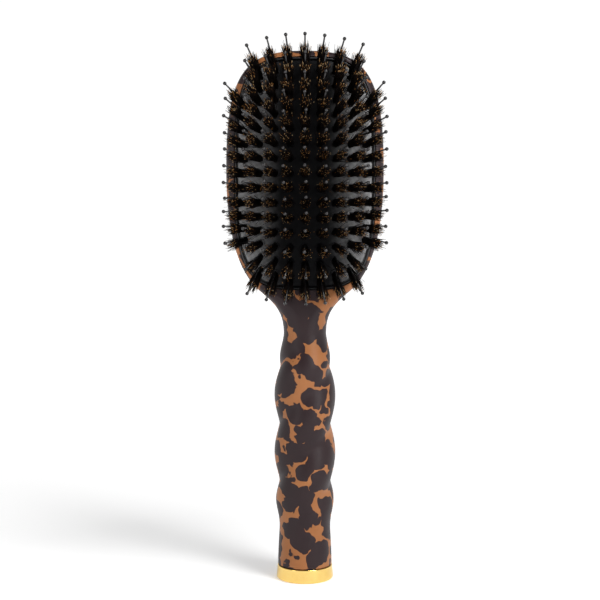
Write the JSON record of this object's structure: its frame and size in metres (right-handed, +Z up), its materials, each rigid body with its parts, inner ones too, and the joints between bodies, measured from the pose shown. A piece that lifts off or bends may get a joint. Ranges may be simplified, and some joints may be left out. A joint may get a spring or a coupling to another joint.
{
  "type": "vanity hairbrush",
  "caption": "Paddle hairbrush with a twisted tortoiseshell handle, a metal end cap and a sprung air cushion set with bristle tufts and ball-tipped pins.",
  "frame": {"origin": "centre of the end cap's flat base, where the brush stands", "axes": "+Z up along the brush to the top of the head, +X across its width, bristles point to -Y and the plain back faces +Y"},
  "size_m": [0.0738, 0.0473, 0.2506],
  "materials": {
    "tortoiseshell": "satin soft-touch plastic, dark brown-grey with sharp amber tortoiseshell patches",
    "gold_cap": "polished yellow gold plating",
    "black_plastic": "black moulded plastic",
    "cushion_rubber": "black rubber with a fine mesh texture",
    "nylon_pin": "black nylon, small glossy ball tips",
    "boar_bristle": "stiff boar bristle, near black with amber-brown tips"
  },
  "bodies": {
    "brush_frame": {"paddle_handle": "tortoiseshell", "end_cap": "gold_cap", "cap_plug": "black_plastic", "cushion_tray": "black_plastic", "cushion_membrane": "cushion_rubber", "retaining_ring": "black_plastic"},
    "bristle_field": {"pin_row_01": "nylon_pin", "pin_row_02": "nylon_pin", "pin_row_03": "nylon_pin", "pin_row_04": "nylon_pin", "pin_row_05": "nylon_pin", "pin_row_06": "nylon_pin", "pin_row_07": "nylon_pin", "pin_row_08": "nylon_pin", "pin_row_09": "nylon_pin", "pin_row_10": "nylon_pin", "pin_row_11": "nylon_pin", "pin_row_12": "nylon_pin", "pin_row_13": "nylon_pin", "pin_row_14": "nylon_pin", "pin_row_15": "nylon_pin", "tuft_row_01": "boar_bristle", "tuft_row_02": "boar_bristle", "tuft_row_03": "boar_bristle", "tuft_row_04": "boar_bristle", "tuft_row_05": "boar_bristle", "tuft_row_06": "boar_bristle", "tuft_row_07": "boar_bristle", "tuft_row_08": "boar_bristle", "tuft_row_09": "boar_bristle", "tuft_row_10": "boar_bristle", "tuft_row_11": "boar_bristle", "tuft_row_12": "boar_bristle", "tuft_row_13": "boar_bristle", "tuft_row_14": "boar_bristle", "tuft_row_15": "boar_bristle"}
  },
  "joints": [
    {"name": "cushion_press", "type": "slide", "parent": "brush_frame", "child": "bristle_field", "axis": [0, 1, 0], "range_m": [0, 0.0022], "stiffness_N_per_m": 3000, "deforming": ["cushion_membrane"]}
  ]
}
